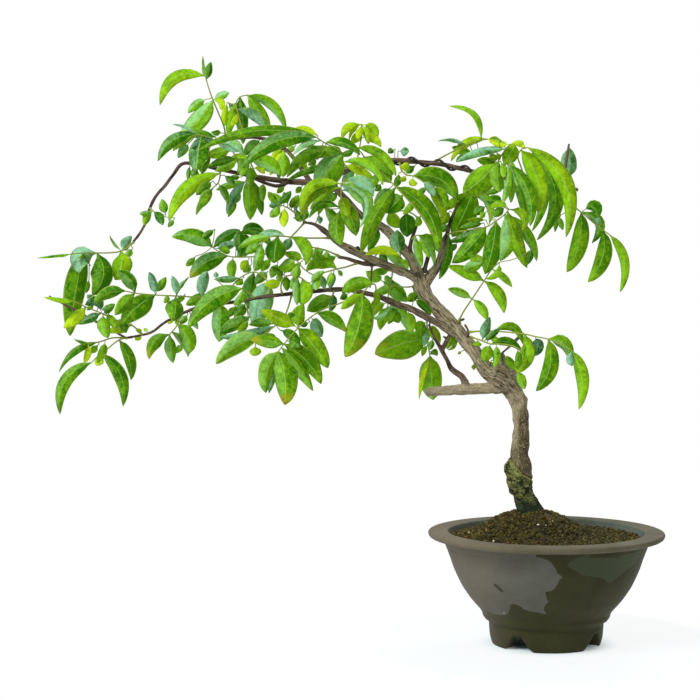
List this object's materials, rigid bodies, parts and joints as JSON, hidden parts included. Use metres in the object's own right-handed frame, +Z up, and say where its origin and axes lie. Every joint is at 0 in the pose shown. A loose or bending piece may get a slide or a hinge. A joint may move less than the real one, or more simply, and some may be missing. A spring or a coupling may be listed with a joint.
{
  "type": "bonsai tree",
  "caption": "Japanese wisteria bonsai with a leaning trunk, long pinnate leaves and a round clay pot with feet.",
  "frame": {"origin": "on the table, under the middle of the whole plant as its outer box measures it", "axes": "+Z up, +X along the length of the leaning tree toward the pot, the front of the picture faces -Y"},
  "size_m": [0.6198, 0.2352, 0.5861],
  "materials": {
    "clay": "unglazed, matt",
    "mesh": "moulded",
    "wire": "dark anodised",
    "bark": "furrowed bark",
    "soil": "granular",
    "leaf": "smooth, a little glossy"
  },
  "bodies": {
    "root": {"pot": "clay", "drainage_mesh": "mesh", "mesh_wire": "wire", "trunk_and_branches": "bark", "training_wire": "wire", "soil": "soil", "leaf_far_left_1": "leaf", "leaf_far_left_2": "leaf", "leaf_far_left_3": "leaf", "leaf_far_left_4": "leaf", "leaf_far_left_5": "leaf", "leaf_left_1": "leaf", "leaf_left_2": "leaf", "leaf_left_3": "leaf", "leaf_left_4": "leaf", "leaf_left_upper_1": "leaf", "leaf_left_upper_2": "leaf", "leaf_left_upper_3": "leaf", "leaf_left_middle_1": "leaf", "leaf_left_middle_2": "leaf", "leaf_middle_low_1": "leaf", "leaf_middle_low_2": "leaf", "leaf_hanging_1": "leaf", "leaf_hanging_2": "leaf", "leaf_middle_1": "leaf", "leaf_middle_2": "leaf", "leaf_middle_3": "leaf", "leaf_fork_1": "leaf", "leaf_fork_2": "leaf", "leaf_fork_3": "leaf", "leaf_fork_4": "leaf", "leaf_apex_1": "leaf", "leaf_apex_2": "leaf", "leaf_apex_3": "leaf", "leaf_front_1": "leaf", "leaf_front_2": "leaf", "leaf_front_3": "leaf", "leaf_front_4": "leaf", "leaf_front_5": "leaf", "leaf_young_1": "leaf", "leaf_arching_1": "leaf", "leaf_middle_left_1": "leaf", "leaf_middle_left_2": "leaf", "leaf_middle_left_3": "leaf", "leaf_center_1": "leaf", "leaf_center_2": "leaf", "leaf_top_right_1": "leaf", "leaf_top_right_2": "leaf", "leaf_top_right_3": "leaf", "leaf_top_right_4": "leaf", "leaf_right_1": "leaf", "leaf_right_2": "leaf", "leaf_right_3": "leaf", "leaf_right_4": "leaf", "leaf_right_5": "leaf", "leaf_right_6": "leaf", "leaf_right_low_1": "leaf", "leaf_right_low_2": "leaf", "leaf_right_low_3": "leaf", "leaf_stub_sprout": "leaf"}
  },
  "joints": []
}
